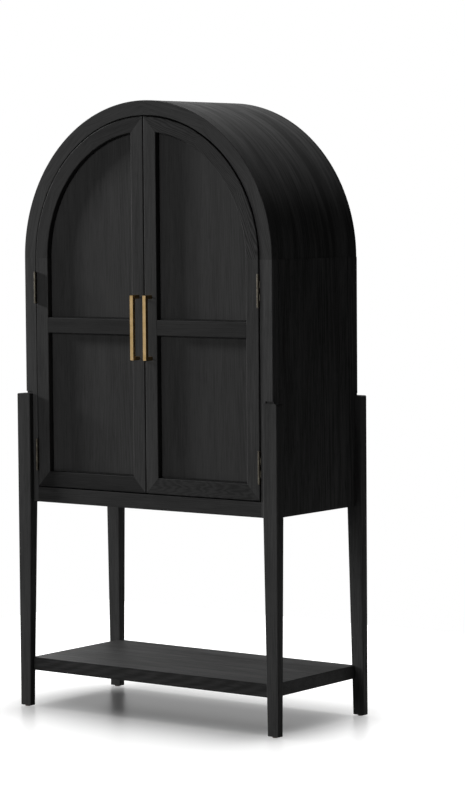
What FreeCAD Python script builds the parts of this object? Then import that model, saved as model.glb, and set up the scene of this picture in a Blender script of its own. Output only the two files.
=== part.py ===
import FreeCAD, Part
import math
import os

# Arch-topped bar armoire on four tapered legs, in millimetres.
# X runs along the front, +Y from front to back, +Z up from the floor.
# Shapes are drawn with the face frame's front at Y = 0 and moved back together at the end.

V = FreeCAD.Vector

# Body
body_width = 1000.0
body_depth = 458.0
underside_height = 680.0
side_height = 798.0
panel_thickness = 20.0
side_proud = 1.5
back_thickness = 8.0
back_rebate = 10.0
back_play = 0.5
housing_depth = 8.0

# Face frame
frame_depth = 32.0
frame_stile_width = 48.0
frame_rail_height = 49.0
frame_arris = 2.5

# Doors
door_gap = 3.0
door_stand = 2.0
door_thickness = 28.0
door_stile_width = 48.5
door_foot_rail_height = 51.0
mid_rail_height = 50.0
mid_rail_rise = 580.0
arch_segment_count = 4
door_arris = 2.5
field_recess = 16.0
field_thickness = 8.0
field_reveal = 4.5
tongue_thickness = 4.0
tongue_play = 0.2
groove_depth = 8.0
groove_room = 1.0

# Pulls
pull_length = 207.0
pull_section = 12.0
pull_reach = 34.0
pull_corner = 3.0
pull_screw_radius = 2.0
pull_screw_grip = 14.0
screw_head_radius = 4.0
screw_head_height = 3.0
screw_play = 0.1

# Butt hinges
hinge_height = 100.0
hinge_below_springing = 96.0
hinge_above_door_foot = 104.0
leaf_thickness = 2.0
frame_leaf_width = 26.0
door_leaf_width = 20.0
knuckle_radius = 4.2
knuckle_count = 5
knuckle_gap = 0.3
barrel_clearance = 0.3
pin_radius = 2.5
pin_play = 0.05
pin_head_height = 2.4
pin_head_chamfer = 1.0
leaf_hole_radius = 2.0
leaf_countersink_radius = 4.0
leaf_hole_count = 3

# Legs and floor glides
leg_outset = 25.5
leg_proud = 17.0
leg_lap_side = 28.5
leg_lap_front = 18.0
leg_notch_depth = 6.0
leg_headroom = 7.0
leg_top_rise = 355.0
foot_width = 42.5
foot_depth = 23.5
leg_arris = 3.0
leg_top_round = 7.0
dowel_radius = 5.0
dowel_in_leg = 14.0
dowel_play = 0.1
dowel_end_distance = 60.0
glide_radius = 9.5
glide_height = 4.0
glide_chamfer = 1.5
glide_stem_radius = 2.5
glide_stem_length = 14.0

# Open shelf between the legs
low_shelf_top = 163.0
low_shelf_thickness = 42.5
low_shelf_inset = 9.0
low_shelf_arris = 2.0

# Shelves inside
mid_shelf_thickness = 20.0
shelf_door_clearance = 2.0
top_shelf_thickness = 18.0
top_shelf_drop = 5.0
loose_shelf_play = 1.5
shelf_pin_radius = 2.5
shelf_pin_depth = 9.0
shelf_pin_lug = 9.0
shelf_pin_setback = 60.0
pin_hole_count = 5
pin_hole_pitch = 32.0

# Bottle cubbies and stemware rails
bottle_shelf_thickness = 16.0
cubby_height = 112.0
cubby_count = 8
divider_thickness = 12.0
stem_rail_count = 8
stem_rail_pitch = 100.0
stem_rail_web = 14.0
stem_rail_drop = 16.0
stem_rail_flange = 68.0
stem_rail_flange_thickness = 8.0
stem_rail_end_room = 12.0

# Magnetic catches and their strikes
catch_width = 34.0
catch_depth = 30.0
catch_height = 14.0
catch_air = 0.5
strike_thickness = 1.5
strike_margin = 2.0

# Places that follow from the sizes above
half_width = body_width / 2
inner_half = half_width - panel_thickness
side_face = half_width + side_proud
springing = underside_height + side_height
floor_top = underside_height + panel_thickness
back_front = body_depth - back_thickness
frame_inner = half_width - frame_stile_width
frame_rail_top = underside_height + frame_rail_height
door_front = -door_stand
door_back = door_front + door_thickness
door_edge = frame_inner - door_gap
door_meeting = door_gap / 2
door_foot = frame_rail_top + door_gap
stile_inner = door_edge - door_stile_width
meeting_inner = door_meeting + door_stile_width
meeting_middle = door_meeting + door_stile_width / 2
mid_rail_low = underside_height + mid_rail_rise - mid_rail_height / 2
mid_rail_high = mid_rail_low + mid_rail_height
foot_rail_high = door_foot + door_foot_rail_height
field_front = door_front + field_recess
tongue_front = field_front + field_thickness - tongue_thickness
groove_front = tongue_front - tongue_play
groove_back = tongue_front + tongue_thickness + tongue_play
hinge_x = door_edge + door_gap / 2
hinge_y = door_front - barrel_clearance - knuckle_radius
hinge_feet = {
    "upper": springing - hinge_below_springing - hinge_height / 2,
    "lower": door_foot + hinge_above_door_foot - hinge_height / 2,
}
leg_outer = half_width + leg_outset
leg_top = underside_height + leg_top_rise
leg_inner = half_width - leg_lap_side
notch_top = leg_top + leg_headroom
dowel_in_body = 0.8 * (panel_thickness - back_rebate)
low_shelf_half = half_width - low_shelf_inset
low_shelf_bottom = low_shelf_top - low_shelf_thickness
mid_shelf_low = underside_height + mid_rail_rise - mid_shelf_thickness / 2
mid_shelf_high = mid_shelf_low + mid_shelf_thickness
mid_shelf_front = door_back + shelf_door_clearance
top_shelf_low = springing - top_shelf_drop - top_shelf_thickness
bottle_shelf_low = floor_top + cubby_height
catch_front = door_back + strike_thickness + catch_air
pull_middle = underside_height + mid_rail_rise
box_front = door_front - pull_reach
box_back = body_depth + leg_proud
front_plane = -(box_front + box_back) / 2

arch_centre = V(0, 0, springing)
depthwise = V(0, 1, 0)


def rounded_face(corners):
    """A flat face through (point, radius) corners, each corner rounded by its radius."""
    edges = []
    ends = []
    for i, (point, radius) in enumerate(corners):
        if radius == 0:
            ends.append((point, point))
            continue
        to_last = (corners[i - 1][0] - point).normalize()
        to_next = (corners[(i + 1) % len(corners)][0] - point).normalize()
        half_angle = to_last.getAngle(to_next) / 2
        reach = radius / math.tan(half_angle)
        start = point + to_last * reach
        end = point + to_next * reach
        inward = (to_last + to_next).normalize()
        middle = point + inward * (radius / math.sin(half_angle) - radius)
        edges.append(Part.Arc(start, middle, end).toShape())
        ends.append((start, end))
    for i, (arrive, leave) in enumerate(ends):
        following = ends[(i + 1) % len(ends)][0]
        if leave.distanceToPoint(following) > 1e-6:
            edges.append(Part.LineSegment(leave, following).toShape())
    return Part.Face(Part.Wire(Part.__sortEdges__(edges)))


def block(x, y, z):
    """A box from the low and high limits along each axis."""
    return Part.makeBox(x[1] - x[0], y[1] - y[0], z[1] - z[0], V(x[0], y[0], z[0]))


def upright(section, low, high):
    """A post: (x, y, radius) corners of a level section, carried from one height to another."""
    corners = [(V(x, y, low), radius) for x, y, radius in section]
    return rounded_face(corners).extrude(V(0, 0, high - low))


def lengthwise(section, left, right):
    """A rail: (y, z, radius) corners of a section, carried along X."""
    corners = [(V(left, y, z), radius) for y, z, radius in section]
    return rounded_face(corners).extrude(V(right - left, 0, 0))


def arched(section, angle):
    """A bent member: (distance, y, radius) corners turned about the arch's centre from +X upwards."""
    corners = [(V(distance, y, springing), radius) for distance, y, radius in section]
    return rounded_face(corners).revolve(arch_centre, V(0, -1, 0), angle)


def arch_board(radius, low, front, back):
    """A board with a half-round head on straight sides."""
    left = V(-radius, front, springing)
    right = V(radius, front, springing)
    crown = Part.Arc(left, V(0, front, springing + radius), right).toShape()
    foot_left = V(-radius, front, low)
    foot_right = V(radius, front, low)
    sides = Part.makePolygon([right, foot_right, foot_left, left])
    outline = Part.Wire([crown] + sides.Edges)
    return Part.Face(outline).extrude(V(0, back - front, 0))


def mirrored(shape):
    return shape.mirror(V(0, 0, 0), V(1, 0, 0))


def both_sides(shapes):
    return list(shapes) + [mirrored(shape) for shape in shapes]


def box_section(low, high, front, back, front_low_arris, front_high_arris):
    """Corners of a four-sided section whose two front arrises are eased."""
    return [
        (low, front, front_low_arris),
        (high, front, front_high_arris),
        (high, back, 0),
        (low, back, 0),
    ]


def grooved_section(inner, outer):
    """Corners of a door member's section, with the panel's groove in its inner edge."""
    into = math.copysign(groove_depth, outer - inner)
    return [
        (inner, door_front, door_arris),
        (outer, door_front, door_arris),
        (outer, door_back, door_arris),
        (inner, door_back, door_arris),
        (inner, groove_back, 0),
        (inner + into, groove_back, 0),
        (inner + into, groove_front, 0),
        (inner, groove_front, 0),
    ]


def dowel_places():
    """Dowel axes as (y, z) for the front and the back leg of one side."""
    heights = (underside_height + dowel_end_distance, leg_top - dowel_end_distance)
    setback = (leg_notch_depth + leg_lap_front) / 2
    return [(y, z) for y in (setback, body_depth - setback) for z in heights]


def dowel(y, z, radius, in_body, in_leg):
    start = V(half_width - in_body, y, z)
    return Part.makeCylinder(radius, in_body + in_leg, start, V(1, 0, 0))


def dowel_holes():
    bore = dowel_radius + dowel_play
    end_room = 1.0
    places = dowel_places()
    holes = [dowel(y, z, bore, dowel_in_body + end_room, dowel_in_leg + end_room) for y, z in places]
    return Part.makeCompound(holes)


def shelf_pin_places():
    """Depths of the two columns of shelf pins."""
    return (frame_depth + shelf_pin_setback, back_front - shelf_pin_setback)


def shelf_pin_hole(y, z):
    start = V(inner_half, y, z)
    return Part.makeCylinder(shelf_pin_radius, shelf_pin_depth, start, V(1, 0, 0))


def side_panel():
    """Right side: a hair proud of the frame, rebated for the back, housed for shelves, drilled for pins."""
    section = [
        (inner_half, frame_depth, 0),
        (side_face, frame_depth, 0),
        (side_face, body_depth, 0),
        (half_width - back_rebate, body_depth, 0),
        (half_width - back_rebate, back_front, 0),
        (inner_half, back_front, 0),
    ]
    side = upright(section, underside_height, springing)
    leg_seat = (body_depth - leg_lap_front, body_depth)
    side = side.cut(block((half_width, side_face), leg_seat, (underside_height, notch_top)))
    housing_end = inner_half + housing_depth
    for low, thickness in ((mid_shelf_low, mid_shelf_thickness), (bottle_shelf_low, bottle_shelf_thickness)):
        side = side.cut(block((inner_half, housing_end), (frame_depth, back_front), (low, low + thickness)))
    used_height = top_shelf_low - shelf_pin_lug / 2
    holes = []
    for y in shelf_pin_places():
        for step in range(pin_hole_count):
            holes.append(shelf_pin_hole(y, used_height - step * pin_hole_pitch))
    return side.cut(Part.makeCompound(holes)).cut(dowel_holes())


def arched_top():
    section = [
        (inner_half, frame_depth, 0),
        (half_width, frame_depth, 0),
        (half_width, body_depth, 0),
        (half_width - back_rebate, body_depth, 0),
        (half_width - back_rebate, back_front, 0),
        (inner_half, back_front, 0),
    ]
    return arched(section, 180)


def frame_section():
    return box_section(frame_inner, half_width, 0, frame_depth, frame_arris, frame_arris)


def hinge_mortises(face, width, direction, front):
    """Shallow recesses that let the hinge leaves into an edge of the frame or the door."""
    edges = sorted((face, face + direction * leaf_thickness))
    cuts = [block(edges, (front, width), (low, low + hinge_height)) for low in hinge_feet.values()]
    return Part.makeCompound(cuts)


def frame_stile():
    """Right frame stile, notched in front for the leg, with a shadow gap above the leg's top."""
    stile = upright(frame_section(), underside_height, springing)
    stile = stile.cut(block((leg_inner, half_width), (0, leg_notch_depth), (underside_height, notch_top)))
    stile = stile.cut(hinge_mortises(frame_inner, frame_leaf_width, 1, 0))
    return stile.cut(dowel_holes())


def frame_rail():
    section = [
        (0, underside_height, frame_arris),
        (0, frame_rail_top, frame_arris),
        (frame_depth, frame_rail_top, 0),
        (frame_depth, underside_height, 0),
    ]
    return lengthwise(section, -frame_inner, frame_inner)


def leg_rectangle(inner_x, back_y, height):
    corners = [
        (V(inner_x, -leg_proud, height), leg_arris),
        (V(leg_outer, -leg_proud, height), leg_arris),
        (V(leg_outer, back_y, height), leg_arris),
        (V(inner_x, back_y, height), leg_arris),
    ]
    return rounded_face(corners).OuterWire


def glide(centre):
    """A chamfered floor glide on a plain stem, driven up into a foot."""
    outline = [
        (V(0, 0, 0), 0),
        (V(glide_radius - glide_chamfer, 0, 0), 0),
        (V(glide_radius, 0, glide_chamfer), 0),
        (V(glide_radius, 0, glide_height), 0),
        (V(glide_stem_radius, 0, glide_height), 0),
        (V(glide_stem_radius, 0, glide_height + glide_stem_length), 0),
        (V(0, 0, glide_height + glide_stem_length), 0),
    ]
    turned = rounded_face(outline).revolve(V(0, 0, 0), V(0, 0, 1), 360)
    turned.translate(centre)
    return turned


def foot_centre():
    return V(leg_outer - foot_width / 2, -leg_proud + foot_depth / 2, 0)


def corner_leg(let_in):
    """Right front leg: hooked round the body's corner, let into its front, tapered below it."""
    foot = leg_rectangle(leg_outer - foot_width, -leg_proud + foot_depth, glide_height)
    shoulder = leg_rectangle(leg_inner, leg_lap_front, underside_height)
    taper = Part.makeLoft([foot, shoulder], True, True)
    hook = [
        (leg_inner, -leg_proud, leg_arris),
        (leg_outer, -leg_proud, leg_arris),
        (leg_outer, leg_lap_front, leg_arris),
        (half_width, leg_lap_front, 0),
        (half_width, let_in, 0),
        (leg_inner, let_in, 0),
    ]
    clasp = upright(hook, underside_height, leg_top)
    front_view = [
        (V(leg_inner, -leg_proud, underside_height), 0),
        (V(leg_outer, -leg_proud, underside_height), 0),
        (V(leg_outer, -leg_proud, leg_top), leg_top_round),
        (V(leg_inner, -leg_proud, leg_top), leg_arris),
    ]
    clasp = clasp.common(rounded_face(front_view).extrude(V(0, leg_proud + leg_lap_front, 0)))
    leg = taper.fuse(clasp).removeSplitter()
    leg = leg.cut(low_shelf_blank()).cut(dowel_holes())
    stem_hole = Part.makeCylinder(glide_stem_radius, glide_stem_length, foot_centre() + V(0, 0, glide_height))
    return leg.cut(stem_hole)


def to_back(shape):
    """The matching piece at the back, mirrored about the middle of the body's depth."""
    return shape.mirror(V(0, body_depth / 2, 0), depthwise)


def low_shelf_blank():
    across = (-low_shelf_half, low_shelf_half)
    return block(across, (0, body_depth), (low_shelf_bottom, low_shelf_top))


def low_shelf():
    shelf = low_shelf_blank()
    rims = [edge for edge in shelf.Edges if edge.BoundBox.ZLength < 1e-6]
    return shelf.makeFillet(low_shelf_arris, rims)


def mid_shelf():
    """Fixed shelf behind the mid rails, housed in the sides, with its nose between the frame stiles."""
    wide = inner_half + housing_depth
    nose = frame_inner - loose_shelf_play
    outline = [
        (V(-nose, mid_shelf_front, mid_shelf_low), 0),
        (V(nose, mid_shelf_front, mid_shelf_low), 0),
        (V(nose, frame_depth, mid_shelf_low), 0),
        (V(wide, frame_depth, mid_shelf_low), 0),
        (V(wide, back_front, mid_shelf_low), 0),
        (V(-wide, back_front, mid_shelf_low), 0),
        (V(-wide, frame_depth, mid_shelf_low), 0),
        (V(-nose, frame_depth, mid_shelf_low), 0),
    ]
    return rounded_face(outline).extrude(V(0, 0, mid_shelf_thickness))


def top_shelf():
    half = inner_half - loose_shelf_play
    depth = (frame_depth + loose_shelf_play, back_front - loose_shelf_play)
    return block((-half, half), depth, (top_shelf_low, top_shelf_low + top_shelf_thickness))


def shelf_pin(y):
    """A pin with a flat-topped square lug that the loose shelf rests on."""
    half = shelf_pin_lug / 2
    middle = top_shelf_low - half
    across = (inner_half - shelf_pin_lug, inner_half)
    lug = block(across, (y - half, y + half), (middle - half, middle + half))
    return lug.fuse(shelf_pin_hole(y, middle))


def bottle_shelf():
    wide = inner_half + housing_depth
    height = (bottle_shelf_low, bottle_shelf_low + bottle_shelf_thickness)
    return block((-wide, wide), (frame_depth, back_front), height)


def bottle_dividers():
    pitch = 2 * inner_half / cubby_count
    boards = []
    for step in range(1, cubby_count):
        middle = -inner_half + step * pitch
        across = (middle - divider_thickness / 2, middle + divider_thickness / 2)
        boards.append(block(across, (frame_depth, back_front), (floor_top, bottle_shelf_low)))
    return Part.makeCompound(boards)


def stem_rails():
    """T-shaped rails under the fixed shelf; glasses hang by their feet between the flanges."""
    web = stem_rail_web / 2
    flange = stem_rail_flange / 2
    flange_top = mid_shelf_low - stem_rail_drop
    flange_low = flange_top - stem_rail_flange_thickness
    front = frame_depth + catch_depth + stem_rail_end_room
    back = back_front - stem_rail_end_room
    rails = []
    for step in range(stem_rail_count):
        middle = (step - (stem_rail_count - 1) / 2) * stem_rail_pitch
        section = [
            (V(middle - web, front, mid_shelf_low), 0),
            (V(middle + web, front, mid_shelf_low), 0),
            (V(middle + web, front, flange_top), 0),
            (V(middle + flange, front, flange_top), 0),
            (V(middle + flange, front, flange_low), 0),
            (V(middle - flange, front, flange_low), 0),
            (V(middle - flange, front, flange_top), 0),
            (V(middle - web, front, flange_top), 0),
        ]
        rails.append(rounded_face(section).extrude(V(0, back - front, 0)))
    return Part.makeCompound(rails)


def catch_span():
    return (meeting_middle - catch_width / 2, meeting_middle + catch_width / 2)


def magnetic_catch():
    """Catch housing under the fixed shelf, with its two pole plates facing the strike."""
    housing_front = catch_front + strike_thickness
    depth = (housing_front, housing_front + catch_depth)
    housing = block(catch_span(), depth, (mid_shelf_low - catch_height, mid_shelf_low))
    left, right = catch_span()
    poles = []
    for share in (1 / 3, 2 / 3):
        height = mid_shelf_low - share * catch_height
        level = (height - strike_thickness / 2, height + strike_thickness / 2)
        across = (left + strike_margin, right - strike_margin)
        poles.append(block(across, (catch_front, housing_front), level))
    return housing.fuse(poles)


def strike():
    left, right = catch_span()
    height = (mid_shelf_low - catch_height + strike_margin, mid_shelf_low - strike_margin)
    return block((left, right), (door_back, door_back + strike_thickness), height)


def knuckle_spans(owner, low):
    """Heights of the knuckles that belong to one leaf: 0 for the frame's leaf, 1 for the door's."""
    share = hinge_height / knuckle_count
    spans = []
    for step in range(owner, knuckle_count, 2):
        bottom = low + step * share + knuckle_gap / 2
        top = low + (step + 1) * share - knuckle_gap / 2
        spans.append((bottom, top))
    return spans


def hinge_leaf(owner, low, face, direction, width):
    """One leaf of a right-hand hinge with its knuckles rolled round the pin."""
    axis_foot = V(hinge_x, hinge_y, low)
    across = sorted((face, face + direction * leaf_thickness))
    leaf = block(across, (door_front, width), (low, low + hinge_height))
    pieces = []
    for bottom, top in knuckle_spans(owner, low):
        pieces.append(Part.makeCylinder(knuckle_radius, top - bottom, V(hinge_x, hinge_y, bottom)))
        pieces.append(block(across, (hinge_y, door_front), (bottom, top)))
    leaf = leaf.fuse(pieces)
    cuts = [Part.makeCylinder(pin_radius + pin_play, hinge_height, axis_foot)]
    hole_pitch = hinge_height / leaf_hole_count
    for step in range(leaf_hole_count):
        centre = V(face, (door_front + width) / 2, low + (step + 0.5) * hole_pitch)
        inward = V(direction, 0, 0)
        cuts.append(Part.makeCylinder(leaf_hole_radius, leaf_thickness, centre, inward))
        sink = min(leaf_countersink_radius - leaf_hole_radius, leaf_thickness)
        cuts.append(Part.makeCone(leaf_countersink_radius, leaf_hole_radius, sink, centre, inward))
    return leaf.cut(Part.makeCompound(cuts)).removeSplitter()


def hinge_pin(low):
    """A plain pin held between two chamfered heads."""
    head = knuckle_radius - pin_play
    crown = head - pin_head_chamfer
    head_top = hinge_height + pin_head_height
    outline = [
        (V(0, 0, -pin_head_height), 0),
        (V(crown, 0, -pin_head_height), 0),
        (V(head, 0, pin_head_chamfer - pin_head_height), 0),
        (V(head, 0, 0), 0),
        (V(pin_radius, 0, 0), 0),
        (V(pin_radius, 0, hinge_height), 0),
        (V(head, 0, hinge_height), 0),
        (V(head, 0, head_top - pin_head_chamfer), 0),
        (V(crown, 0, head_top), 0),
        (V(0, 0, head_top), 0),
    ]
    pin = rounded_face(outline).revolve(V(0, 0, 0), V(0, 0, 1), 360)
    pin.translate(V(hinge_x, hinge_y, low))
    return pin


def through_door(outline):
    """A prism through the door's thickness from (x, z) corners."""
    corners = [(V(x, door_front, z), 0) for x, z in outline]
    return rounded_face(corners).extrude(V(0, door_thickness, 0))


def foot_mitres():
    """Room of the bottom rail between its two mitres, which run from the inner to the outer corners."""
    return through_door(
        [
            (door_meeting, door_foot),
            (door_edge, door_foot),
            (stile_inner, foot_rail_high),
            (meeting_inner, foot_rail_high),
        ]
    )


def crown_mitre():
    """Ends of the crown's mitre as (x, z): at the stile's inner edge, and past the other door's edge."""
    inner = springing + math.sqrt(stile_inner**2 - meeting_inner**2)
    outer = springing + math.sqrt(door_edge**2 - door_meeting**2)
    slope = (outer - inner) / (meeting_inner - door_meeting)
    past = -door_stile_width
    return (meeting_inner, inner), (past, inner + slope * (meeting_inner - past))


def door_hinge_stile():
    """Mitred to the bottom rail at its foot, let in for the hinge leaves."""
    stile = upright(grooved_section(stile_inner, door_edge), door_foot, springing).cut(foot_mitres())
    return stile.cut(hinge_mortises(door_edge, door_leaf_width, -1, door_front))


def door_meeting_stile():
    """Mitred to the bottom rail and to the arched rail at the crown; bored for the pull's screws."""
    near, far = crown_mitre()
    stile = upright(grooved_section(meeting_inner, door_meeting), door_foot, far[1]).cut(foot_mitres())
    stile = stile.cut(through_door([near, (near[0], far[1]), far]))
    bores = []
    for height in pull_screw_heights():
        bores.append(back_bore(pull_screw_radius + screw_play, door_thickness, height))
        bores.append(back_bore(screw_head_radius + screw_play, screw_head_height, height))
    return stile.cut(Part.makeCompound(bores))


def pull_screw_heights():
    offset = (pull_length - pull_section) / 2
    return (pull_middle - offset, pull_middle + offset)


def back_bore(radius, depth, height):
    """A round hole or shank along the pull screw's axis, from the door's back towards its front."""
    return Part.makeCylinder(radius, depth, V(meeting_middle, door_back, height), V(0, -1, 0))


def door_arched_rail():
    """Quarter of the arched head rail, glued up from segments and mitred to the meeting stile."""
    turn = 90 / arch_segment_count
    segment = arched(grooved_section(stile_inner, door_edge), turn)
    others = [segment.rotated(arch_centre, V(0, -1, 0), step * turn) for step in range(1, arch_segment_count)]
    near, far = crown_mitre()
    stile_room = through_door([(far[0], springing), (near[0], springing), near, far])
    return segment.fuse(others).cut(stile_room)


def level_rail(low, high, left, right):
    """A level door rail with eased arrises."""
    section = [
        (door_front, low, door_arris),
        (door_front, high, door_arris),
        (door_back, high, door_arris),
        (door_back, low, door_arris),
    ]
    return lengthwise(section, left, right)


def door_mid_rail():
    """Butted between the stiles, with a groove for each panel and a stub tenon at each end."""
    rail = level_rail(mid_rail_low, mid_rail_high, meeting_inner, stile_inner)
    grooves = ((mid_rail_low, mid_rail_low + groove_depth), (mid_rail_high - groove_depth, mid_rail_high))
    for groove in grooves:
        rail = rail.cut(block((meeting_inner, stile_inner), (groove_front, groove_back), groove))
    tenons = (meeting_inner - groove_depth, stile_inner + groove_depth)
    return rail.fuse(block(tenons, (groove_front, groove_back), (grooves[0][1], grooves[1][0])))


def door_foot_rail():
    """Mitred to both stiles, with a groove for the lower panel."""
    rail = level_rail(door_foot, foot_rail_high, door_meeting, door_edge)
    groove = (foot_rail_high - groove_depth, foot_rail_high)
    rail = rail.cut(block((door_meeting, door_edge), (groove_front, groove_back), groove))
    return rail.common(foot_mitres())


def tongue_limits():
    """Left and right edges of a panel's tongue in the stiles' grooves."""
    return (meeting_inner - groove_depth + groove_room, stile_inner + groove_depth - groove_room)


def field_limits():
    """Left and right edges of a panel's field, which leaves a shadow gap to the frame."""
    return (meeting_inner + field_reveal, stile_inner - field_reveal)


def quarter_headed(across, low, front, thickness):
    """A plate with upright sides and a quarter-round head about the arch's centre."""
    left, right = across
    crown = springing + math.sqrt(right**2 - left**2)
    turn = math.acos(left / right) / 2
    halfway = V(right * math.cos(turn), front, springing + right * math.sin(turn))
    shoulder = V(right, front, springing)
    peak = V(left, front, crown)
    head = Part.Arc(shoulder, halfway, peak).toShape()
    rest = Part.makePolygon([peak, V(left, front, low), V(right, front, low), shoulder])
    return Part.Face(Part.Wire([head] + rest.Edges)).extrude(V(0, thickness, 0))


def door_upper_panel():
    """Field on a thinner tongue, which stands in the mid rail's groove."""
    tongue = quarter_headed(tongue_limits(), mid_rail_high - groove_depth, tongue_front, tongue_thickness)
    field = quarter_headed(field_limits(), mid_rail_high + field_reveal, field_front, field_thickness)
    return field.fuse(tongue).removeSplitter()


def door_lower_panel():
    """Field on a thinner tongue, which stands in the bottom rail's groove."""
    tongue_height = (foot_rail_high - groove_depth, mid_rail_low + groove_depth - groove_room)
    tongue_span = (tongue_front, tongue_front + tongue_thickness)
    tongue = block(tongue_limits(), tongue_span, tongue_height)
    field_height = (foot_rail_high + field_reveal, mid_rail_low - field_reveal)
    field = block(field_limits(), (field_front, field_front + field_thickness), field_height)
    return field.fuse(tongue).removeSplitter()


def pull():
    """Square bar pull, its two ends turned back to the door and tapped for screws."""
    foot = pull_middle - pull_length / 2
    head = foot + pull_length
    left = meeting_middle - pull_section / 2
    front = door_front - pull_reach
    inside = front + pull_section
    outline = [
        (door_front, foot, 0),
        (front, foot, pull_corner),
        (front, head, pull_corner),
        (door_front, head, 0),
        (door_front, head - pull_section, 0),
        (inside, head - pull_section, pull_corner / 2),
        (inside, foot + pull_section, pull_corner / 2),
        (door_front, foot + pull_section, 0),
    ]
    bar = lengthwise(outline, left, left + pull_section)
    depth = door_thickness + pull_screw_grip
    return bar.cut(Part.makeCompound([back_bore(pull_screw_radius, depth, z) for z in pull_screw_heights()]))


def pull_screws():
    screws = []
    for height in pull_screw_heights():
        shank = back_bore(pull_screw_radius, door_thickness + pull_screw_grip, height)
        screws.append(shank.fuse(back_bore(screw_head_radius, screw_head_height, height)).removeSplitter())
    return Part.makeCompound(screws)


def right_door():
    pieces = {
        "hinge_stile": door_hinge_stile(),
        "meeting_stile": door_meeting_stile(),
        "arched_rail": door_arched_rail(),
        "mid_rail": door_mid_rail(),
        "bottom_rail": door_foot_rail(),
        "upper_panel": door_upper_panel(),
        "lower_panel": door_lower_panel(),
        "pull": pull(),
        "pull_screws": pull_screws(),
        "strike_plate": strike(),
    }
    for name, low in hinge_feet.items():
        pieces[name + "_hinge_door_leaf"] = hinge_leaf(1, low, door_edge, -1, door_leaf_width)
    return pieces


def handed_body():
    """Body pieces that come as a right-hand and a left-hand one."""
    pieces = {
        "side_panel": side_panel(),
        "frame_stile": frame_stile(),
        "front_leg": corner_leg(leg_notch_depth),
        "back_leg": to_back(corner_leg(0)),
    }
    for name, low in hinge_feet.items():
        pieces[name + "_hinge_frame_leaf"] = hinge_leaf(0, low, frame_inner, 1, frame_leaf_width)
        pieces[name + "_hinge_pin"] = hinge_pin(low)
    return pieces


def single_body():
    """Body pieces that lie across the middle, and groups of like pieces."""
    front_glide = glide(foot_centre())
    glides = both_sides([front_glide, to_back(front_glide)])
    dowels = [dowel(y, z, dowel_radius, dowel_in_body, dowel_in_leg) for y, z in dowel_places()]
    pins = [shelf_pin(y) for y in shelf_pin_places()]
    half = inner_half
    back_half = half_width - back_rebate - back_play
    return {
        "arched_top": arched_top(),
        "bottom_panel": block((-half, half), (frame_depth, back_front), (underside_height, floor_top)),
        "back_panel": arch_board(back_half, underside_height, back_front, body_depth),
        "frame_arched_head": arched(frame_section(), 180),
        "frame_bottom_rail": frame_rail(),
        "lower_shelf": low_shelf(),
        "leg_dowels": Part.makeCompound(both_sides(dowels)),
        "floor_glides": Part.makeCompound(glides),
        "fixed_shelf": mid_shelf(),
        "upper_shelf": top_shelf(),
        "shelf_pins": Part.makeCompound(both_sides(pins)),
        "bottle_shelf": bottle_shelf(),
        "bottle_dividers": bottle_dividers(),
        "stemware_rails": stem_rails(),
        "magnetic_catches": Part.makeCompound(both_sides([magnetic_catch()])),
    }


def armoire():
    pieces = single_body()
    for name, shape in (handed_body() | right_door()).items():
        pieces["right_" + name] = shape
        pieces["left_" + name] = mirrored(shape)
    return pieces


os.makedirs("parts", exist_ok=True)
for node, shape in armoire().items():
    shape.translate(V(0, front_plane, 0))
    shape.exportStep("parts/" + node + ".step")
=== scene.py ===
import math

import bpy
from mathutils import Euler, Matrix, Vector

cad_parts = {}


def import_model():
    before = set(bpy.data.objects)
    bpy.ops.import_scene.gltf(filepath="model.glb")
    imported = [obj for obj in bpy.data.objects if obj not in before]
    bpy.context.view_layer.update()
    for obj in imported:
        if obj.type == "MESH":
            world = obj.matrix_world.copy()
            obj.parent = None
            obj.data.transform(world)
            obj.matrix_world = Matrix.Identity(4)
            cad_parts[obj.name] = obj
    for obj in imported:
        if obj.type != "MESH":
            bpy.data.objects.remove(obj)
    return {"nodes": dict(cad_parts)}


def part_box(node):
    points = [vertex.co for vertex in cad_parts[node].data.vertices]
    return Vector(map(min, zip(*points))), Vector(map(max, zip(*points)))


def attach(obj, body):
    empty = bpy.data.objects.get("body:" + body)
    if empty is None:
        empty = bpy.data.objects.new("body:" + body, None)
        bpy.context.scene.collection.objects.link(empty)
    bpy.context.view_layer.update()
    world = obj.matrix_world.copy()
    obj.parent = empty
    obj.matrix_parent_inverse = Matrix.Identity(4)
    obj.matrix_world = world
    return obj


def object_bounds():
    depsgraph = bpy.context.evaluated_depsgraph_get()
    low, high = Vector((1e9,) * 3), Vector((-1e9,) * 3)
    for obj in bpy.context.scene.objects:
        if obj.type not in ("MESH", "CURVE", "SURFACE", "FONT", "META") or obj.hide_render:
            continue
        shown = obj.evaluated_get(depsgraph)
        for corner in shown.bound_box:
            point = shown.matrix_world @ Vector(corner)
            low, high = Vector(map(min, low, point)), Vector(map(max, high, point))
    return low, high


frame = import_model()
cad_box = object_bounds()

# Arch-topped bar armoire in black-stained oak, in metres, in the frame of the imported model.

MM = 0.001
SIDES = ("left", "right")
LEVELS = ("upper", "lower")
WHITE = (1, 1, 1, 1)

# Photograph's view, in metres and degrees
CAMERA_PLACE = (5.706, -7.378, 1.661)
CAMERA_AZIMUTH = 36.83
CAMERA_PITCH = 3.96
CAMERA_ROLL = -0.44
LENS_MM = 129.9
SENSOR_MM = 36
FAR_CLIP = 100

# Places read from the frame
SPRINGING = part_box("left_hinge_stile")[1].z
ARCH_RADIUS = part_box("frame_arched_head")[1].x

# Sockets of a Mix node set to colours, which go by number because their names repeat
FACTOR = 0
FIRST = 6
SECOND = 7
MIXED = 2


def linear(code):
    """An sRGB hex colour as linear RGBA, by the standard's own curve."""
    channels = [int(code[i:i + 2], 16) / 255 for i in (1, 3, 5)]
    return tuple(c / 12.92 if c <= 0.04045 else ((c + 0.055) / 1.055) ** 2.4 for c in channels) + (1.0,)


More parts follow.
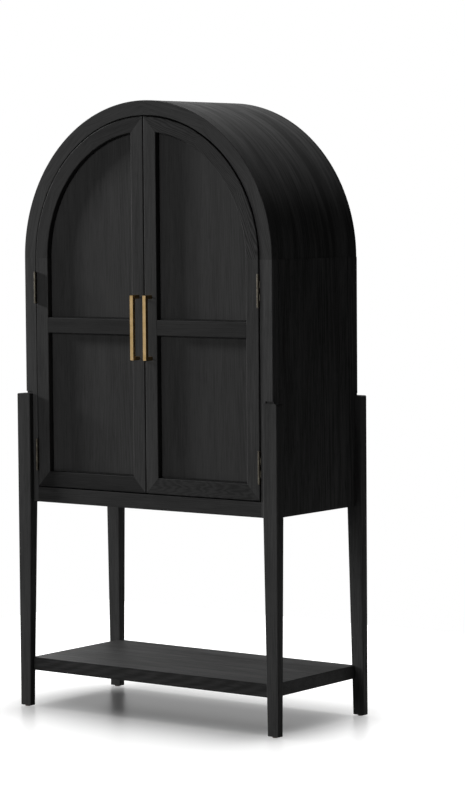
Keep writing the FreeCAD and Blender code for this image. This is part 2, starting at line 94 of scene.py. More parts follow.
def wire(tree, node, wires):
    """Links or sets a node's inputs."""
    for socket, value in wires.items():
        if isinstance(value, bpy.types.NodeSocket):
            tree.links.new(value, node.inputs[socket])
        else:
            node.inputs[socket].default_value = value


def put(tree, kind, wires=None, **settings):
    """Adds a node, sets its properties, and links or sets its inputs."""
    node = tree.nodes.new(kind)
    for name, value in settings.items():
        setattr(node, name, value)
    wire(tree, node, wires or {})
    return node


def new_material(name):
    """A material with an empty tree, its Principled shader and its output."""
    material = bpy.data.materials.new(name)
    material.use_nodes = True
    tree = material.node_tree
    tree.nodes.clear()
    shader = put(tree, "ShaderNodeBsdfPrincipled")
    put(tree, "ShaderNodeOutputMaterial", {"Surface": shader.outputs[0]})
    return material, tree, shader


# Stained oak

# Way of the grain where it isn't upright. The arched boards are sawn in straight segments, and the bent top's
# veneer follows the arc.
GRAIN = {
    "frame_arched_head": "segments",
    "arched_rail": "segments",
    "arched_top": "arc",
    "bottom_rail": "across",
    "mid_rail": "across",
    "frame_bottom_rail": "across",
    "lower_shelf": "across",
    "fixed_shelf": "across",
    "upper_shelf": "across",
    "bottle_shelf": "across",
    "bottom_panel": "across",
    "stemware_rails": "depth",
    "bottle_dividers": "depth",
}
TURN_AXIS = {"across": "Y_AXIS", "depth": "X_AXIS"}
QUARTER_TURN = math.pi / 2
SEGMENT_TURN = math.radians(30)
ARCH_BOARD_RADIUS = 0.45
# Step through the noise from one board to the next, so that no two are alike
BOARD_STEP = (0.37, 0.53, 0.71)

# Layers of the grain, each with its share of the tone. A pixel of the picture covers about 3 mm, and oak has
# fibres under 1 mm wide, pores about 0.3 mm wide and yearly rings about 2 mm apart, so these three are drawn
# coarser to show.
FIBRE_WIDTH = 5 * MM
FIBRE_STRETCH = 24
FIBRE_DETAIL = 3
FIBRE_SHARE = 0.7
BAND_WIDTH = 32 * MM
BAND_STRETCH = 12
BAND_DETAIL = 2
BAND_SHARE = 0.6
BAND_SHARES = {"arched_top": 1.3, "frame_arched_head": 0.2}
PORE_WIDTH = 3 * MM
PORE_STRETCH = 16
PORE_DETAIL = 1
PORE_RANGE = (0.56, 0.7)
PORE_SHARE = -0.18
STREAK_ROUGHNESS = 0.6
RING_SPACING = 5 * MM
RING_DETAIL = 3
RING_ROUGHNESS = 0.5
# The rings waver this much more slowly along the board than across it.
RING_SQUEEZE = 0.15
# Distance between two rings of the Wave texture at scale 1
WAVE_PERIOD = math.pi / 10
# Place of the pith across, behind and along the board, slant of the rings, share of the figure, waver of the
# rings and fineness of the waver
PLAIN_SAWN = {"pith": (0.19, 0.11, 0), "lean": 0.02, "figure": 0.16, "waver": 3.5, "fine": 0.3}
FLAMES = {
    "right_bottom_rail": {"pith": (0.004, 0.05, 0), "lean": 0.125, "figure": 0.5, "waver": 14.0, "fine": 0.8},
    "lower_shelf": {"pith": (0.05, 0.0, 0), "lean": 0.06, "figure": 0.3, "waver": 3.5, "fine": 0.3},
    "right_arched_rail": {"pith": (0.02, 0.04, 0), "lean": 0.1, "figure": 0.7, "waver": 9.0, "fine": 0.8},
}
# Tones this far from the middle one are the darkest and the lightest. A strong figure takes a wider range.
TONE_REACH = 0.2
FIGURE_REACH = 0.25

# Darkest and lightest of each board's black, matched to the photograph board by board in the studio's light.
# Part of the tones is painted light: the upright stiles are lighter and the rails, the arched rails and the
# head darker, standing in for how the raking light catches brushed grain that runs up or across; the right
# frame stile is lighter against the shade of the door's edge, the right mid rail darker as a painted shadow
# of the pull, and the back legs lighter against the shade under the body. A name with its side goes before
# the plain one.
STAIN = ("#1e1e1e", "#2e2e2e")
BOARD_TONES_AND_PAINTED_LIGHT = {
    "frame_stile": ("#242424", "#353535"),
    "right_frame_stile": ("#272727", "#393939"),
    "frame_arched_head": ("#1a1a1a", "#2a2a2a"),
    "frame_bottom_rail": ("#141414", "#242424"),
    "side_panel": ("#171717", "#373737"),
    "arched_top": ("#1d1d1d", "#333333"),
    "left_arched_rail": ("#0f0f0f", "#1e1e1e"),
    "right_arched_rail": ("#090909", "#202020"),
    "upper_panel": ("#212121", "#2b2b2b"),
    "lower_panel": ("#1e1e1e", "#2a2a2a"),
    "left_mid_rail": ("#111111", "#1d1d1d"),
    "right_mid_rail": ("#121212", "#1f1f1f"),
    "left_bottom_rail": ("#080808", "#161616"),
    "right_bottom_rail": ("#101010", "#202020"),
    "lower_shelf": ("#1a1a1a", "#2a2a2a"),
    "front_leg": ("#1f1f1f", "#303030"),
    "left_back_leg": ("#272727", "#393939"),
    "right_back_leg": ("#2b2b2b", "#3d3d3d"),
}
# Darkest and lightest for the ends of the arched boards, which stand upright: painted light, lighter like the
# stiles for the raking light on upright grain. Then how fast it fades towards the crown
UPRIGHT_PAINTED_LIGHT = {
    "frame_arched_head": ("#202020", "#323232"),
    "left_arched_rail": ("#191919", "#252525"),
    "right_arched_rail": ("#151515", "#2b2b2b"),
}
UPRIGHT_FALL = 3
# Lacquer: level of its gloss, a little higher on the open shelf, and roughness of the darkest and the
# lightest streaks
LACQUER_IOR = 1.5
SHEEN = 0.08
SHEENS = {"lower_shelf": 0.13}
OAK_ROUGHNESS = (0.7, 0.54)
# Depth of the brushing; the panels and the top are sanded flatter
RELIEF = 0.6 * MM
RELIEFS = {"upper_panel": 0.2 * MM, "lower_panel": 0.2 * MM, "arched_top": 0.25 * MM}
RELIEF_STRENGTH = 0.3


def from_middle(tree, middle):
    """Object coordinates counted from a board's middle."""
    spot = put(tree, "ShaderNodeTexCoord").outputs["Object"]
    return put(tree, "ShaderNodeVectorMath", {0: spot, 1: middle}, operation="SUBTRACT").outputs[0]


def grain_frame(tree, run, middle):
    """A board's coordinates with Z along the grain."""
    place = from_middle(tree, middle)
    if run == "up":
        return place
    if run in TURN_AXIS:
        return put(tree, "ShaderNodeVectorRotate", {"Vector": place, "Angle": QUARTER_TURN},
                   rotation_type=TURN_AXIS[run]).outputs[0]
    parts = put(tree, "ShaderNodeSeparateXYZ", {0: place}).outputs
    turn = put(tree, "ShaderNodeMath", {0: parts["Z"], 1: parts["X"]}, operation="ARCTAN2").outputs[0]
    if run == "arc":
        flat = put(tree, "ShaderNodeCombineXYZ", {"X": parts["X"], "Y": parts["Z"]}).outputs[0]
        radius = put(tree, "ShaderNodeVectorMath", {0: flat}, operation="LENGTH").outputs["Value"]
        along = put(tree, "ShaderNodeMath", {0: turn, 1: ARCH_RADIUS}, operation="MULTIPLY").outputs[0]
        return put(tree, "ShaderNodeCombineXYZ", {"X": radius, "Y": parts["Y"], "Z": along}).outputs[0]
    step = put(tree, "ShaderNodeMath", {0: turn, 1: SEGMENT_TURN}, operation="SNAP").outputs[0]
    aim = put(tree, "ShaderNodeMath", {0: step, 1: SEGMENT_TURN / 2}, operation="ADD").outputs[0]
    level = put(tree, "ShaderNodeVectorRotate", {"Vector": place, "Angle": aim}, rotation_type="Y_AXIS")
    apart = put(tree, "ShaderNodeCombineXYZ", {"X": -ARCH_BOARD_RADIUS, "Z": step}).outputs[0]
    return put(tree, "ShaderNodeVectorMath", {0: level.outputs[0], 1: apart}, operation="ADD").outputs[0]


def uprightness(tree, middle):
    """1 where an arched board stands upright at the springing, and 0 where it lies level at the crown."""
    place = from_middle(tree, middle)
    flat = put(tree, "ShaderNodeVectorMath", {0: place, 1: (1, 0, 1)}, operation="MULTIPLY").outputs[0]
    way = put(tree, "ShaderNodeVectorMath", {0: flat}, operation="NORMALIZE").outputs[0]
    level = put(tree, "ShaderNodeVectorMath", {0: way}, operation="ABSOLUTE").outputs[0]
    across = put(tree, "ShaderNodeSeparateXYZ", {0: level}).outputs["X"]
    return put(tree, "ShaderNodeMath", {0: across, 1: UPRIGHT_FALL}, operation="POWER").outputs[0]


def streaks(tree, spot, width, stretch, detail):
    """Noise drawn out along the grain."""
    along = (1, 1, 1 / stretch)
    squeezed = put(tree, "ShaderNodeVectorMath", {0: spot, 1: along}, operation="MULTIPLY").outputs[0]
    looks = {"Vector": squeezed, "Scale": 1 / width, "Detail": detail, "Roughness": STREAK_ROUGHNESS}
    return put(tree, "ShaderNodeTexNoise", looks).outputs["Fac"]


def yearly_rings(tree, place, flame, seed):
    """Rings round the pith, which a board cut at a slant to them shows as flames."""
    parts = put(tree, "ShaderNodeSeparateXYZ", {0: place}).outputs
    slant = put(tree, "ShaderNodeMath", {0: parts["Z"], 1: flame["lean"], 2: parts["Y"]},
                operation="MULTIPLY_ADD").outputs[0]
    squeezed = put(tree, "ShaderNodeMath", {0: parts["Z"], 1: RING_SQUEEZE}, operation="MULTIPLY").outputs[0]
    trunk = put(tree, "ShaderNodeCombineXYZ", {"X": parts["X"], "Y": slant, "Z": squeezed}).outputs[0]
    centred = put(tree, "ShaderNodeVectorMath", {0: trunk, 1: flame["pith"]}, operation="SUBTRACT").outputs[0]
    looks = {
        "Vector": centred,
        "Scale": WAVE_PERIOD / RING_SPACING,
        "Distortion": flame["waver"],
        "Detail": RING_DETAIL,
        "Detail Scale": flame["fine"],
        "Detail Roughness": RING_ROUGHNESS,
        "Phase Offset": seed,
    }
    return put(tree, "ShaderNodeTexWave", looks, wave_type="RINGS", rings_direction="Z").outputs["Fac"]


def stained_oak(name, board, middle, seed):
    """Oak, wire-brushed, stained black and lacquered: faint streaks and flames of sheen in the black, on
    tones that are partly painted light.
    """
    material, tree, shader = new_material("brushed_stained_oak_" + name)
    flame = FLAMES.get(name, PLAIN_SAWN)
    figure = flame["figure"]
    bands = BAND_SHARES.get(board, BAND_SHARE)
    place = grain_frame(tree, GRAIN.get(board, "up"), middle)
    offset = tuple(step * seed for step in BOARD_STEP)
    spot = put(tree, "ShaderNodeVectorMath", {0: place, 1: offset}, operation="ADD").outputs[0]
    fibre = streaks(tree, spot, FIBRE_WIDTH, FIBRE_STRETCH, FIBRE_DETAIL)
    band = streaks(tree, spot, BAND_WIDTH, BAND_STRETCH, BAND_DETAIL)
    speck = streaks(tree, spot, PORE_WIDTH, PORE_STRETCH, PORE_DETAIL)
    wood, hollow = PORE_RANGE
    pore = put(tree, "ShaderNodeMapRange", {"Value": speck, "From Min": wood, "From Max": hollow}).outputs[0]
    rings = yearly_rings(tree, place, flame, seed)
    tone = put(tree, "ShaderNodeMath", {0: fibre, 1: FIBRE_SHARE}, operation="MULTIPLY").outputs[0]
    for layer, share in ((band, bands), (rings, figure), (pore, PORE_SHARE)):
        tone = put(tree, "ShaderNodeMath", {0: layer, 1: share, 2: tone}, operation="MULTIPLY_ADD").outputs[0]
    # Fibres, bands and rings average one half, so the middle tone is half of their shares.
    centre = (FIBRE_SHARE + bands + figure) / 2
    reach = TONE_REACH + FIGURE_REACH * figure
    limits = {"Value": tone, "From Min": centre - reach, "From Max": centre + reach}
    spread = put(tree, "ShaderNodeMapRange", limits).outputs[0]
    dark, light = (linear(code) for code in BOARD_TONES_AND_PAINTED_LIGHT.get(name, BOARD_TONES_AND_PAINTED_LIGHT.get(board, STAIN)))
    colour = put(tree, "ShaderNodeMix", {FACTOR: spread, FIRST: dark, SECOND: light},
                 data_type="RGBA").outputs[MIXED]
    # The upright ends take lighter tones: painted light for the raking light on upright grain.
    if name in UPRIGHT_PAINTED_LIGHT:
        dark, light = (linear(code) for code in UPRIGHT_PAINTED_LIGHT[name])
        upright_light = put(tree, "ShaderNodeMix", {FACTOR: spread, FIRST: dark, SECOND: light},
                   data_type="RGBA").outputs[MIXED]
        colour = put(tree, "ShaderNodeMix", {FACTOR: uprightness(tree, middle), FIRST: colour, SECOND: upright_light},
                     data_type="RGBA").outputs[MIXED]
    dull, bright = OAK_ROUGHNESS
    gloss = put(tree, "ShaderNodeMapRange", {"Value": spread, "To Min": dull, "To Max": bright}).outputs[0]
    brushing = {"Height": tone, "Strength": RELIEF_STRENGTH, "Distance": RELIEFS.get(board, RELIEF)}
    bump = put(tree, "ShaderNodeBump", brushing).outputs[0]
    wire(tree, shader, {"Base Color": colour, "Roughness": gloss, "Normal": bump, "IOR": LACQUER_IOR})
    wire(tree, shader, {"Specular IOR Level": SHEENS.get(board, SHEEN)})
    return material


# Beech, whose flecks are drawn about three times too wide so that they show from close by
BEECH = "#cba57a"
BEECH_FLECK = "#b48a5e"
FLECK_WIDTH = 1.2 * MM
FLECK_STRETCH = 10
FLECK_DETAIL = 2
FLECK_RANGE = (0.4, 0.7)
BEECH_ROUGHNESS = 0.7


def fluted_beech():
    """Beech dowels, turned and fluted, unfinished: pale, even and dull, with short dark flecks."""
    material, tree, shader = new_material("fluted_beech")
    spot = put(tree, "ShaderNodeTexCoord").outputs["Object"]
    along = (1 / FLECK_STRETCH, 1, 1)
    drawn = put(tree, "ShaderNodeVectorMath", {0: spot, 1: along}, operation="MULTIPLY").outputs[0]
    looks = {"Vector": drawn, "Scale": 1 / FLECK_WIDTH, "Detail": FLECK_DETAIL}
    fleck = put(tree, "ShaderNodeTexNoise", looks).outputs[0]
    low, high = FLECK_RANGE
    tint = put(tree, "ShaderNodeMapRange", {"Value": fleck, "From Min": low, "From Max": high}).outputs[0]
    base = put(tree, "ShaderNodeMix", {FACTOR: tint, FIRST: linear(BEECH), SECOND: linear(BEECH_FLECK)},
               data_type="RGBA").outputs[MIXED]
    wire(tree, shader, {"Base Color": base, "Roughness": BEECH_ROUGHNESS})
    return material


# Metals: colour, worn colour, roughness and width of the brush strokes. Real strokes are finer than 0.1 mm,
# and these are drawn coarse enough to show from close by.
METALS = {
    # Brass, brushed along the bar and lacquered: warm, with a soft highlight drawn out across the strokes
    "brushed_brass": ("#c6a97c", "#b89b68", 0.3, 0.5 * MM),
    # Brass, darkened in a bath and rubbed: a dull, brownish sheen. It is set darker still as painted shade
    # for the right-hand hinges, which block no lamp and so cast no shade on themselves
    "antiqued_brass_and_painted_shade": ("#514d44", "#3a362f", 0.45, 0.5 * MM),
    # Drawn steel, zinc plated: a cool, slightly cloudy grey
    "zinc_plated_steel": ("#b9bbbe", "#9fa2a6", 0.35, 0.6 * MM),
}
STROKE_STRETCH = 50
STROKE_DETAIL = 3
STROKE_RELIEF = 0.05 * MM
STROKE_STRENGTH = 0.12
SMOOTH_STROKE = -0.06
ROUGH_STROKE = 0.08
PATINA_WIDTH = 18 * MM
PATINA_DETAIL = 3
PATINA_RANGE = (0.35, 0.7)


def metal(name):
    """A metal with fine upright strokes and a cloudy patina."""
    material, tree, shader = new_material(name)
    colour, worn, roughness, stroke_width = METALS[name]
    spot = put(tree, "ShaderNodeTexCoord").outputs["Object"]
    along = (1, 1, 1 / STROKE_STRETCH)
    drawn = put(tree, "ShaderNodeVectorMath", {0: spot, 1: along}, operation="MULTIPLY").outputs[0]
    looks = {"Vector": drawn, "Scale": 1 / stroke_width, "Detail": STROKE_DETAIL}
    stroke = put(tree, "ShaderNodeTexNoise", looks).outputs[0]
    looks = {"Vector": spot, "Scale": 1 / PATINA_WIDTH, "Detail": PATINA_DETAIL}
    patina = put(tree, "ShaderNodeTexNoise", looks).outputs[0]
    low, high = PATINA_RANGE
    tint = put(tree, "ShaderNodeMapRange", {"Value": patina, "From Min": low, "From Max": high}).outputs[0]
    base = put(tree, "ShaderNodeMix", {FACTOR: tint, FIRST: linear(colour), SECOND: linear(worn)},
               data_type="RGBA").outputs[MIXED]
    limits = {"Value": stroke, "To Min": roughness + SMOOTH_STROKE, "To Max": roughness + ROUGH_STROKE}
    gloss = put(tree, "ShaderNodeMapRange", limits).outputs[0]
    relief = {"Height": stroke, "Strength": STROKE_STRENGTH, "Distance": STROKE_RELIEF}
    bump = put(tree, "ShaderNodeBump", relief).outputs[0]
    wire(tree, shader, {"Base Color": base, "Roughness": gloss, "Normal": bump, "Metallic": 1.0})
    return material


# Plastics: ground and fleck. The grain of a mould is about 0.1 mm and is drawn coarser to show from close by.
PLASTICS = {"moulded_nylon": ("#5a4a40", "#655449"), "moulded_abs": ("#1d1d1e", "#262627")}
GRIT_WIDTH = 0.8 * MM
GRIT_DETAIL = 2
GRIT_ROUGHNESS = (0.4, 0.6)
GRIT_RELIEF = 0.05 * MM
GRIT_STRENGTH = 0.2


def plastic(name):
    """Plastic from a spark-eroded mould: even, with a fine grain that breaks up the gloss."""
    material, tree, shader = new_material(name)
    ground, fleck = (linear(code) for code in PLASTICS[name])
    spot = put(tree, "ShaderNodeTexCoord").outputs["Object"]
    looks = {"Vector": spot, "Scale": 1 / GRIT_WIDTH, "Detail": GRIT_DETAIL}
    grit = put(tree, "ShaderNodeTexNoise", looks).outputs[0]
    base = put(tree, "ShaderNodeMix", {FACTOR: grit, FIRST: ground, SECOND: fleck},
               data_type="RGBA").outputs[MIXED]
    smooth, rough = GRIT_ROUGHNESS
    gloss = put(tree, "ShaderNodeMapRange", {"Value": grit, "To Min": smooth, "To Max": rough}).outputs[0]
    relief = {"Height": grit, "Strength": GRIT_STRENGTH, "Distance": GRIT_RELIEF}
    bump = put(tree, "ShaderNodeBump", relief).outputs[0]
    wire(tree, shader, {"Base Color": base, "Roughness": gloss, "Normal": bump})
    return material


def dress_nodes(hinge_brass):
    """Gives every CAD node its finish, with the grain along each board."""
    zinc = metal("zinc_plated_steel")
    fittings = {
        "pull": metal("brushed_brass"),
        "pull_screws": zinc,
        "strike_plate": zinc,
        "shelf_pins": zinc,
        "floor_glides": plastic("moulded_nylon"),
        "magnetic_catches": plastic("moulded_abs"),
        "leg_dowels": fluted_beech(),
    }
    for level in LEVELS:
        for piece in ("frame_leaf", "door_leaf", "pin"):
            fittings[f"{level}_hinge_{piece}"] = hinge_brass
    for index, (name, node) in enumerate(sorted(frame["nodes"].items())):
        board = name.split("_", 1)[1] if name.startswith(SIDES) else name
        lowest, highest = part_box(name)
        middle = (lowest + highest) / 2
        if GRAIN.get(board) in ("segments", "arc"):
            middle = Vector((0, middle.y, SPRINGING))
        finish = fittings[board] if board in fittings else stained_oak(name, board, middle, index)
        node.data.materials.clear()
        node.data.materials.append(finish)


# Hinge screws, countersunk and slotted, three to a leaf
SCREWS_PER_LEAF = 3
SCREW_SIZES = {
    "Head Radius": 3.85 * MM,
    "Shank Radius": 1.9 * MM,
    "Head Depth": 1.9 * MM,
    "Slot Width": 1.0 * MM,
    "Slot Depth": 0.8 * MM,
}
SCREW_SINK = 0.1 * MM
SCREW_SIDES = 32
SCREW_SEED = 7
# The block that cuts the slot is longer than the head is wide, and half of it stands above the head.
CUTTER_HEAD_RADII = 3.0
CUTTER_SLOT_DEPTHS = 2.0


def screw_tree(brass):
    """Nodes that put a slotted countersunk head, turned at random, on every point and along its facing."""
    tree = bpy.data.node_groups.new("slotted_screws", "GeometryNodeTree")
    tree.interface.new_socket("Points", in_out="INPUT", socket_type="NodeSocketGeometry")
    for name in SCREW_SIZES:
        tree.interface.new_socket(name, in_out="INPUT", socket_type="NodeSocketFloat")
    tree.interface.new_socket("Seed", in_out="INPUT", socket_type="NodeSocketInt")
    tree.interface.new_socket("Screws", in_out="OUTPUT", socket_type="NodeSocketGeometry")
    given = put(tree, "NodeGroupInput").outputs
    sizes = {
        "Vertices": SCREW_SIDES,
        "Radius Top": given["Head Radius"],
        "Radius Bottom": given["Shank Radius"],
        "Depth": given["Head Depth"],
    }
    cone = put(tree, "GeometryNodeMeshCone", sizes).outputs["Mesh"]
    drop = put(tree, "ShaderNodeMath", {0: given["Head Depth"], 1: -1.0}, operation="MULTIPLY").outputs[0]
    down = put(tree, "ShaderNodeCombineXYZ", {"Z": drop}).outputs[0]
    head = put(tree, "GeometryNodeTransform", {"Geometry": cone, "Translation": down}).outputs[0]
    length = put(tree, "ShaderNodeMath", {0: given["Head Radius"], 1: CUTTER_HEAD_RADII},
                 operation="MULTIPLY").outputs[0]
    depth = put(tree, "ShaderNodeMath", {0: given["Slot Depth"], 1: CUTTER_SLOT_DEPTHS},
                operation="MULTIPLY").outputs[0]
    sizes = {"X": length, "Y": given["Slot Width"], "Z": depth}
    block = put(tree, "ShaderNodeCombineXYZ", sizes).outputs[0]
    cutter = put(tree, "GeometryNodeMeshCube", {"Size": block}).outputs["Mesh"]
    slotted = put(tree, "GeometryNodeMeshBoolean", {"Mesh 1": head, "Mesh 2": cutter},
                  operation="DIFFERENCE", solver="EXACT").outputs["Mesh"]
    turn = put(tree, "FunctionNodeRandomValue", {"Max": math.pi, "Seed": given["Seed"]},
               data_type="FLOAT").outputs[1]
    spin = put(tree, "FunctionNodeAxisAngleToRotation", {"Axis": (0, 0, 1), "Angle": turn}).outputs[0]
    facing = put(tree, "GeometryNodeInputNamedAttribute", {"Name": "facing"},
                 data_type="FLOAT_VECTOR").outputs[0]
    aimed = put(tree, "FunctionNodeAlignRotationToVector", {"Rotation": spin, "Vector": facing},
                axis="Z").outputs[0]
    screws = {"Points": given["Points"], "Instance": slotted, "Rotation": aimed}
    placed = put(tree, "GeometryNodeInstanceOnPoints", screws).outputs[0]
    solid = put(tree, "GeometryNodeRealizeInstances", {"Geometry": placed}).outputs[0]
    finished = put(tree, "GeometryNodeSetMaterial", {"Geometry": solid, "Material": brass}).outputs[0]
    put(tree, "NodeGroupOutput", {"Screws": finished})
    return tree


def leaf_screws(side, level, leaf):
    """Places and facings of the screws in one hinge leaf, sunk a little below the edge it is let into."""
    stile_low, stile_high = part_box(side + "_hinge_stile")
    frame_low, frame_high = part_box(side + "_frame_stile")
    if side == "right":
        outward, door_edge, frame_edge = 1, stile_high.x, frame_low.x
    else:
        outward, door_edge, frame_edge = -1, stile_low.x, frame_high.x
    facing, edge = (outward, door_edge) if leaf == "door_leaf" else (-outward, frame_edge)
    across = edge - facing * SCREW_SINK
    low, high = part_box(f"{side}_{level}_hinge_{leaf}")
    depth = (stile_low.y + high.y) / 2
    pitch = (high.z - low.z) / SCREWS_PER_LEAF
    heights = [low.z + (step + 0.5) * pitch for step in range(SCREWS_PER_LEAF)]
    return [((across, depth, height), (facing, 0, 0)) for height in heights]


def hinge_screws(brass):
    """Makes each body's screws as one piece that rides on it."""
    tree = screw_tree(brass)
    owners = {"cabinet": [], "left_door": [], "right_door": []}
    for side in SIDES:
        for level in LEVELS:
            owners["cabinet"] += leaf_screws(side, level, "frame_leaf")
            owners[side + "_door"] += leaf_screws(side, level, "door_leaf")
    for body, spots in owners.items():
        points = bpy.data.meshes.new("screw_points")
        points.from_pydata([place for place, _ in spots], [], [])
        facing = points.attributes.new("facing", "FLOAT_VECTOR", "POINT")
        facing.data.foreach_set("vector", [value for _, way in spots for value in way])
        seeds = bpy.data.objects.new("screw_points", points)
        bpy.context.scene.collection.objects.link(seeds)
        maker = seeds.modifiers.new("screws", "NODES")
        maker.node_group = tree
        for item in tree.interface.items_tree:
            if item.name in SCREW_SIZES:
                maker[item.identifier] = SCREW_SIZES[item.name]
            elif item.name == "Seed":
                maker[item.identifier] = SCREW_SEED
        made = seeds.evaluated_get(bpy.context.evaluated_depsgraph_get())
        mesh = bpy.data.meshes.new_from_object(made)
        bpy.data.objects.remove(seeds)
        piece = bpy.data.objects.new(body + "_hinge_screws", mesh)
        bpy.context.scene.collection.objects.link(piece)
        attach(piece, body)


# Studio

# Floor. Far from the object it glows as white as the backdrop, and near the object the glow fades: this
# paints a soft shadow round the object, over the real one from the paper's own lamp, and gives it a soft
# edge. How far is counted in reaches from a core, which is one reach smaller than the object's box all round.
# The reach's height plays no part on a level floor.
FLOOR_HALF = 1.9
PAPER = "#d6d6d5"
PAPER_ROUGHNESS = 0.33
SHADOW_REACH = (0.15, 0.24, 1.0)
SHADOW_FADE = (0.3, 2.2)
SHADOW_GLOW = 0.04
FLOOR_GLOW = 0.72
WHITE_FADE = (2.0, 4.0)

# Lamps, which all face one point: place, width and height, and power in watts
AIM = (0.0, 0.0, 1.05)
LAMPS = {
    "floor_softbox": ((-0.2, 0.2, 4.4), (2.2, 1.6), 125),
    "shelf_card": ((-1.6, 0.35, 0.55), (0.4, 0.4), 30),
    # The key is far off to the left, so that it rakes evenly across the whole front.
    "key_softbox": ((-53.3, -6.86, 17.05), (4.8, 9.6), 54400),
    "fill_softbox": ((-0.5, -6.6, 2.2), (2.6, 2.6), 215),
    "crown_softbox": ((-0.48, 0.6, 4.75), (0.7, 0.7), 166),
    "side_card": ((7.0, 1.0, 1.7), (2.0, 2.0), 28),
    "white_card": ((-3.3, -4.4, 1.4), (3.2, 3.2), 19),
}

# Backdrop: its direction, and the cosines of the angles from it where the white begins and where it is full
BACKDROP_WAY = (-0.588, 0.809, 0.06)
BACKDROP_EDGE = (0.8, 0.98)
AMBIENT = 0.06
DARK_ROOM = 0.012


def mirrored_rays(tree, path):
    """1 for rays that come by way of a reflection or through glass."""
    return put(tree, "ShaderNodeMath", {0: path["Is Glossy Ray"], 1: path["Is Transmission Ray"]},
               operation="MAXIMUM").outputs[0]


def calendered_paper():
    """Paper, calendered smooth: white, with a soft shadow, partly painted by its glow fading near the object,
    and a faint, blurred reflection of the feet.
    """
    material, tree, shader = new_material("calendered_paper")
    spot = put(tree, "ShaderNodeTexCoord").outputs["Object"]
    outward = put(tree, "ShaderNodeVectorMath", {0: spot}, operation="ABSOLUTE").outputs[0]
    core = cad_box[1] - Vector(SHADOW_REACH)
    beyond = put(tree, "ShaderNodeVectorMath", {0: outward, 1: core}, operation="SUBTRACT").outputs[0]
    share = put(tree, "ShaderNodeVectorMath", {0: beyond, 1: SHADOW_REACH}, operation="DIVIDE").outputs[0]
    clear = put(tree, "ShaderNodeVectorMath", {0: share, 1: (0, 0, 0)}, operation="MAXIMUM").outputs[0]
    far = put(tree, "ShaderNodeVectorMath", {0: clear}, operation="LENGTH").outputs["Value"]
    near, end = SHADOW_FADE
    limits = {"Value": far, "From Min": near, "From Max": end, "To Min": SHADOW_GLOW, "To Max": FLOOR_GLOW}
    fade = put(tree, "ShaderNodeMapRange", limits, interpolation_type="SMOOTHSTEP").outputs[0]
    near, end = WHITE_FADE
    limits = {"Value": far, "From Min": near, "From Max": end, "To Min": 0.0, "To Max": 1 - FLOOR_GLOW}
    rest = put(tree, "ShaderNodeMapRange", limits).outputs[0]
    clean = put(tree, "ShaderNodeMath", {0: fade, 1: rest}, operation="ADD").outputs[0]
    path = put(tree, "ShaderNodeLightPath").outputs
    seen = put(tree, "ShaderNodeMath", {0: path["Is Camera Ray"], 1: mirrored_rays(tree, path)},
               operation="MAXIMUM").outputs[0]
    glow = put(tree, "ShaderNodeMath", {0: clean, 1: seen}, operation="MULTIPLY").outputs[0]
    wire(tree, shader, {"Base Color": linear(PAPER), "Roughness": PAPER_ROUGHNESS})
    wire(tree, shader, {"Emission Color": WHITE, "Emission Strength": glow})
    return material


def floor():
    """A square of paper under the object."""
    mesh = bpy.data.meshes.new("floor")
    corners = [(x * FLOOR_HALF, y * FLOOR_HALF, 0) for x, y in ((-1, -1), (1, -1), (1, 1), (-1, 1))]
    mesh.from_pydata(corners, [], [(0, 1, 2, 3)])
    paper = bpy.data.objects.new("floor", mesh)
    bpy.context.scene.collection.objects.link(paper)
    mesh.materials.append(calendered_paper())
    return paper


def lamp(name):
    """A soft box that faces the middle of the object."""
    place, size, power = LAMPS[name]
    data = bpy.data.lights.new(name, "AREA")
    data.shape = "RECTANGLE"
    data.size, data.size_y = size
    data.energy = power
    box = bpy.data.objects.new(name, data)
    bpy.context.scene.collection.objects.link(box)
    box.location = place
    box.rotation_euler = (Vector(AIM) - Vector(place)).to_track_quat("-Z", "Y").to_euler()
    return box


def world():
    """White to the camera; in gloss, white only where the backdrop hangs; elsewhere a dim room."""
    sky = bpy.data.worlds.new("studio")
    bpy.context.scene.world = sky
    sky.use_nodes = True
    tree = sky.node_tree
    tree.nodes.clear()
    way = put(tree, "ShaderNodeTexCoord").outputs["Generated"]
    facing = put(tree, "ShaderNodeVectorMath", {0: way, 1: BACKDROP_WAY},
                 operation="DOT_PRODUCT").outputs["Value"]
    begin, full = BACKDROP_EDGE
    limits = {"Value": facing, "From Min": begin, "From Max": full, "To Min": DARK_ROOM, "To Max": 1.0}
    hung = put(tree, "ShaderNodeMapRange", limits, interpolation_type="SMOOTHSTEP").outputs[0]
    path = put(tree, "ShaderNodeLightPath").outputs
    gloss = mirrored_rays(tree, path)
    room = put(tree, "ShaderNodeMix", {"Factor": gloss, "A": AMBIENT, "B": hung}).outputs[0]
    level = put(tree, "ShaderNodeMix", {"Factor": path["Is Camera Ray"], "A": room, "B": 1.0}).outputs[0]
    glow = put(tree, "ShaderNodeBackground", {"Color": WHITE, "Strength": level}).outputs[0]
    put(tree, "ShaderNodeOutputWorld", {"Surface": glow})


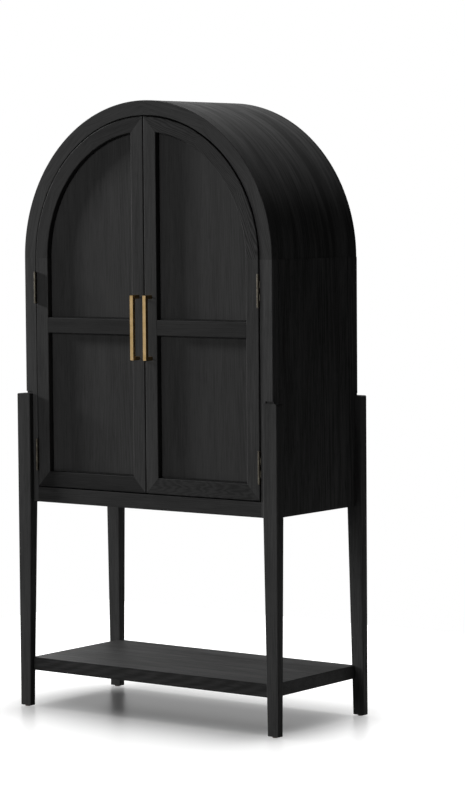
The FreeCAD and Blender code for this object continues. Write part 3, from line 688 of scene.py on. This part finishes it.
def camera():
    """The photograph's view."""
    data = bpy.data.cameras.new("camera")
    data.lens = LENS_MM
    data.sensor_width = SENSOR_MM
    data.clip_end = FAR_CLIP
    eye = bpy.data.objects.new("camera", data)
    bpy.context.scene.collection.objects.link(eye)
    aim = Euler((math.radians(90 - CAMERA_PITCH), 0, math.radians(CAMERA_AZIMUTH))).to_matrix()
    tilt = aim @ Matrix.Rotation(math.radians(CAMERA_ROLL), 3, "Z")
    eye.matrix_world = Matrix.Translation(CAMERA_PLACE) @ tilt.to_4x4()
    bpy.context.scene.camera = eye


def light_group(name, members, state):
    """A collection for a lamp's light linking, with its members included or excluded."""
    group = bpy.data.collections.new(name)
    for member in members:
        group.objects.link(member)
    for entry in group.collection_objects:
        entry.light_linking.link_state = state
    return group


def studio():
    """Floor, backdrop, lamps and camera, with each lamp kept to what it is there to light."""
    paper = floor()
    world()
    nodes = frame["nodes"]
    shelf = nodes["lower_shelf"]
    # The paper has a lamp of its own overhead, whose soft shadow it keeps, and the others are flagged off it.
    # The raking key would glare off the level shelf, seen from the far side, so the shelf has a card instead.
    own = {
        "floor_softbox": light_group("paper_only", [paper], "INCLUDE"),
        "shelf_card": light_group("shelf_only", [shelf], "INCLUDE"),
    }
    flagged = light_group("flagged", [paper], "EXCLUDE")
    shaded = light_group("shaded", [paper, shelf], "EXCLUDE")
    # The pulls and the right-hand hinges would draw long hard shadows in the raking light, so they block only
    # the paper's and the shelf's own lamps.
    pulls = [name for name in nodes if name.endswith("_pull")]
    hinges = [name for name in nodes if name.startswith("right_") and name.endswith(("_leaf", "_pin"))]
    slim = light_group("slim", [nodes[name] for name in pulls + hinges], "EXCLUDE")
    for name in LAMPS:
        linking = lamp(name).light_linking
        if name in own:
            linking.receiver_collection = own[name]
        else:
            linking.receiver_collection = shaded if name == "key_softbox" else flagged
            linking.blocker_collection = slim
    camera()
    bpy.context.scene.view_settings.view_transform = "Standard"


hinge_brass = metal("antiqued_brass_and_painted_shade")
dress_nodes(hinge_brass)
hinge_screws(hinge_brass)
studio()
